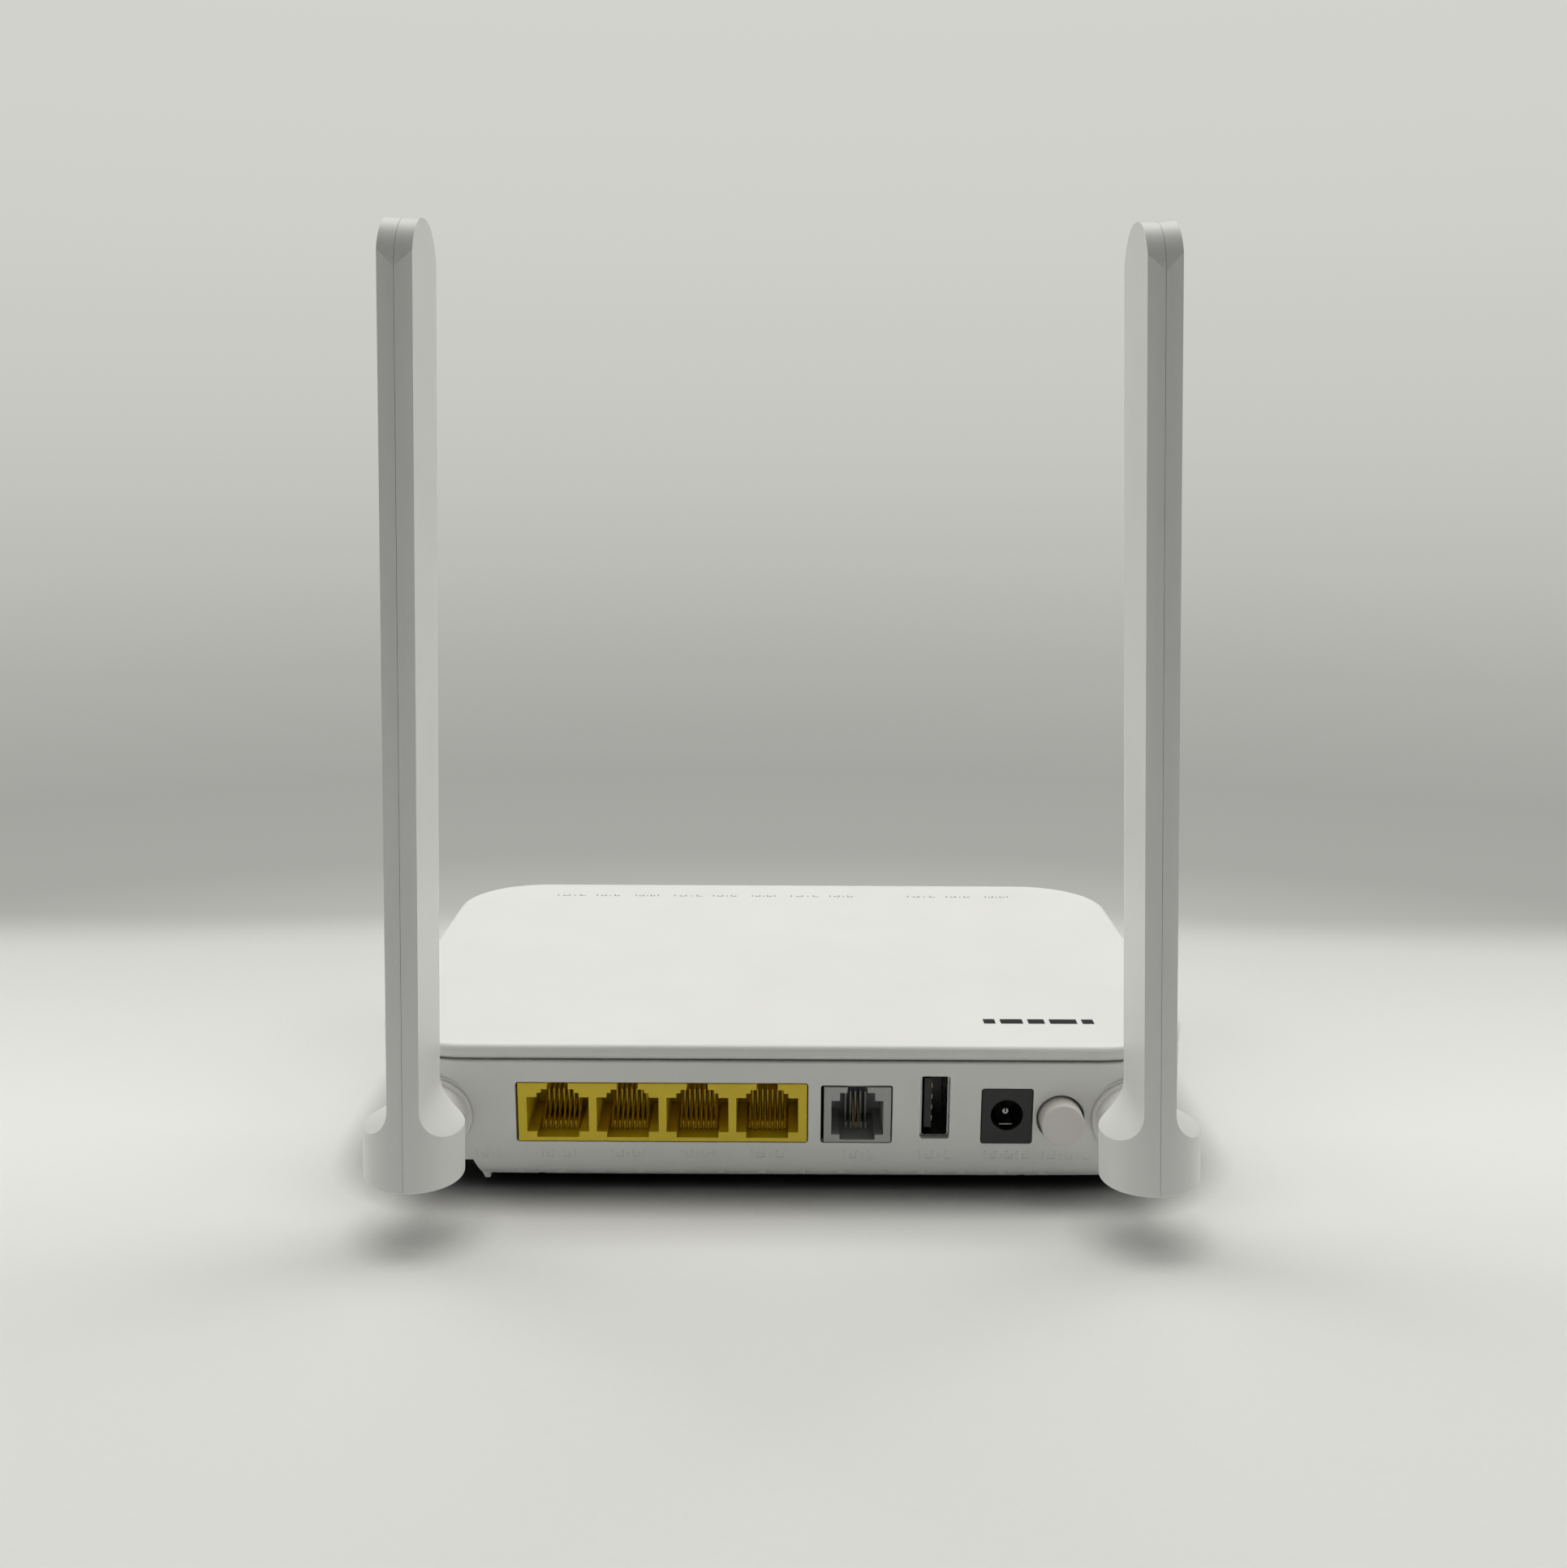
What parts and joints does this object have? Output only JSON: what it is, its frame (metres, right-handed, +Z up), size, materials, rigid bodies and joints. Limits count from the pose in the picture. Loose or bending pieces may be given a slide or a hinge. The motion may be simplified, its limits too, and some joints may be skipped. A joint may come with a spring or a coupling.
{
  "type": "optical network terminal",
  "caption": "Flat table-top fibre network unit: round-cornered two-part case, rear socket row, push button and two flat blade antennas that swivel and tilt.",
  "frame": {"origin": "centre of the whole unit's outline (case, antenna bases and side buttons), on the plane it rests on; the case's own centre is 13.45 mm in front of it", "axes": "+Z up; -Y out of the socket panel; +Y towards the indicator front; +X to the right seen from the socket side"},
  "size_m": [0.167, 0.1448, 0.1841],
  "materials": {
    "case_plastic": "fine moulded texture, cool off-white",
    "lid_plastic": "fine moulded texture, cool off-white",
    "antenna_plastic": "satin moulded, off-white",
    "hub_plastic": "satin moulded, off-white",
    "button_plastic": "satin moulded, warm off-white",
    "lan_yellow": "moulded yellow thermoplastic",
    "tel_grey": "moulded mid grey thermoplastic",
    "black_plastic": "moulded black thermoplastic",
    "fibre_green": "moulded green thermoplastic",
    "rubber_grey": "matte soft rubber",
    "label_white": "plain printed film, blank",
    "steel": "zinc plated steel",
    "nickel": "bright nickel plating",
    "gold_contact": "gold plated spring wire",
    "board_green": "solder mask over glass epoxy",
    "chip_black": "moulded epoxy",
    "pad_grey": "soft filled silicone",
    "heatsink_alu": "extruded, satin",
    "led_white": "small clear lens",
    "clear_plastic": "polished clear acrylic",
    "ceramic": "polished zirconia",
    "cable_grey": "smooth cable jacket"
  },
  "bodies": {
    "case": {"top_cover": "lid_plastic", "bottom_case": "case_plastic", "rubber_feet": "rubber_grey", "blank_label": "label_white", "case_screws": "steel", "board_screws": "steel", "main_board": "board_green", "lan_jack_housing": "lan_yellow", "lan_contacts": "gold_contact", "tel_jack_housing": "tel_grey", "tel_contacts": "gold_contact", "usb_shell": "nickel", "usb_tongue": "black_plastic", "usb_contacts": "gold_contact", "dc_jack_body": "black_plastic", "dc_jack_pin": "nickel", "dc_jack_spring": "nickel", "main_processor": "chip_black", "thermal_pad": "pad_grey", "heatsink": "heatsink_alu", "support_chips": "chip_black", "shield_cans": "nickel", "lan_transformers": "chip_black", "capacitors": "heatsink_alu", "inductors": "chip_black", "indicator_leds": "led_white", "light_guide": "clear_plastic", "fibre_receptacle": "fibre_green", "ferrule_sleeve": "ceramic", "optical_transceiver": "nickel", "power_switch_body": "black_plastic", "side_switch_bodies": "black_plastic", "cable_sockets": "gold_contact", "left_board_cable": "cable_grey", "right_board_cable": "cable_grey"},
    "power_button": {"power_button_cap": "button_plastic", "power_switch_plunger": "black_plastic"},
    "wlan_button": {"wlan_button_cap": "button_plastic", "wlan_switch_plunger": "black_plastic"},
    "wps_button": {"wps_button_cap": "button_plastic", "wps_switch_plunger": "black_plastic"},
    "reset_button": {"reset_switch_plunger": "black_plastic"},
    "left_hub": {"left_swivel_hub": "hub_plastic", "left_hub_clip": "steel", "left_hub_cable": "cable_grey"},
    "left_antenna": {"left_hinge_pin": "steel", "left_antenna_inner_shell": "antenna_plastic", "left_antenna_outer_shell": "antenna_plastic", "left_antenna_radiator": "board_green", "left_antenna_cable": "cable_grey"},
    "right_hub": {"right_swivel_hub": "hub_plastic", "right_hub_clip": "steel", "right_hub_cable": "cable_grey"},
    "right_antenna": {"right_hinge_pin": "steel", "right_antenna_inner_shell": "antenna_plastic", "right_antenna_outer_shell": "antenna_plastic", "right_antenna_radiator": "board_green", "right_antenna_cable": "cable_grey"}
  },
  "joints": [
    {"name": "left_antenna_swivel", "type": "hinge", "parent": "case", "child": "left_hub", "pos_m": [-0.0698, -0.04555, 0.016], "axis": [0, 1, 0], "range_deg": [-90, 22]},
    {"name": "left_antenna_tilt", "type": "hinge", "parent": "left_hub", "child": "left_antenna", "pos_m": [-0.0698, -0.06305, 0.016], "axis": [0.9993, 0, -0.0366], "range_deg": [0, 90]},
    {"name": "right_antenna_swivel", "type": "hinge", "parent": "case", "child": "right_hub", "pos_m": [0.0692, -0.04555, 0.016], "axis": [0, 1, 0], "range_deg": [-22, 90]},
    {"name": "right_antenna_tilt", "type": "hinge", "parent": "right_hub", "child": "right_antenna", "pos_m": [0.0692, -0.06305, 0.016], "axis": [0.9988, 0, 0.0488], "range_deg": [0, 90]},
    {"name": "power_button_press", "type": "slide", "parent": "case", "child": "power_button", "axis": [0, 1, 0], "range_m": [0, 0.0025]},
    {"name": "wlan_button_press", "type": "slide", "parent": "case", "child": "wlan_button", "axis": [-1, 0, 0], "range_m": [0, 0.0004]},
    {"name": "wps_button_press", "type": "slide", "parent": "case", "child": "wps_button", "axis": [-1, 0, 0], "range_m": [0, 0.0004]},
    {"name": "reset_press", "type": "slide", "parent": "case", "child": "reset_button", "axis": [-1, 0, 0], "range_m": [0, 0.0004]}
  ]
}
